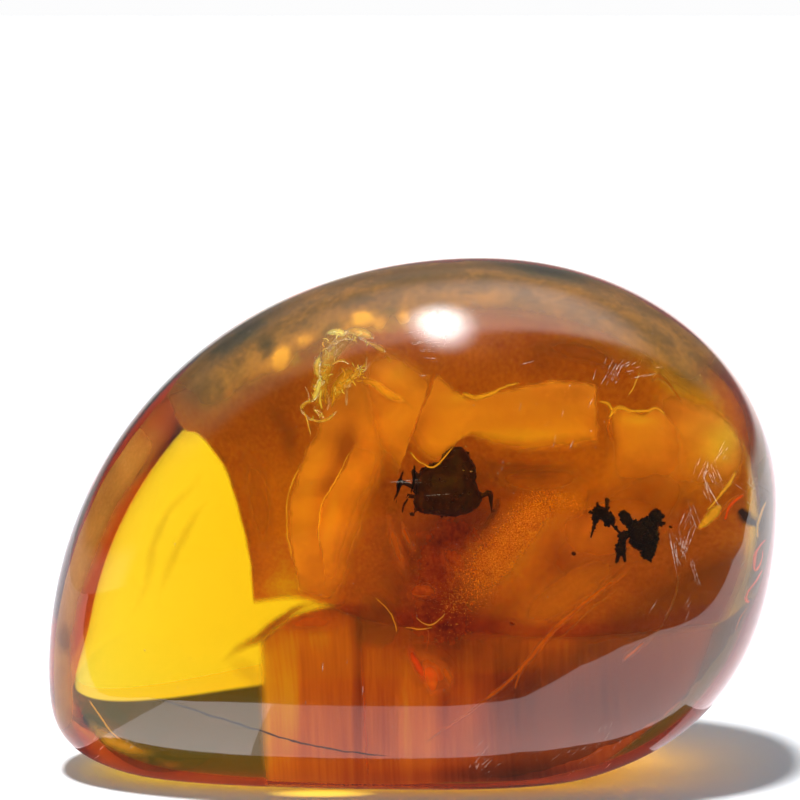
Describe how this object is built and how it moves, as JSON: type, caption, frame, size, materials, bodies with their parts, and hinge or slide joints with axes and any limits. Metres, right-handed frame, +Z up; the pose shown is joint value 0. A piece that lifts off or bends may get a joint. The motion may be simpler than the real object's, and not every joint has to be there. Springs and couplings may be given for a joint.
{
  "type": "insect in amber",
  "caption": "Polished drop-shaped nodule of clear honey amber on a small ground flat, with a black insect, a brown husk and cloudy films sealed inside.",
  "frame": {"origin": "middle of the ground flat under the nodule, at the middle of its length and thickness", "axes": "+X along the nodule's length towards its blunt end, +Y through its thickness away from the viewer, +Z up"},
  "size_m": [0.0502, 0.0256, 0.0358],
  "materials": {
    "amber": "clear polished amber, honey yellow to orange-brown",
    "film": "cloudy honey-orange film between two flows of the resin",
    "insect": "black chitin, slightly glossy",
    "husk": "dark maroon-brown chitin"
  },
  "bodies": {
    "root": {"amber_front": "amber", "amber_middle": "amber", "amber_back": "amber", "film_front": "film", "film_back": "film", "insect": "insect", "husk": "husk"}
  },
  "joints": []
}
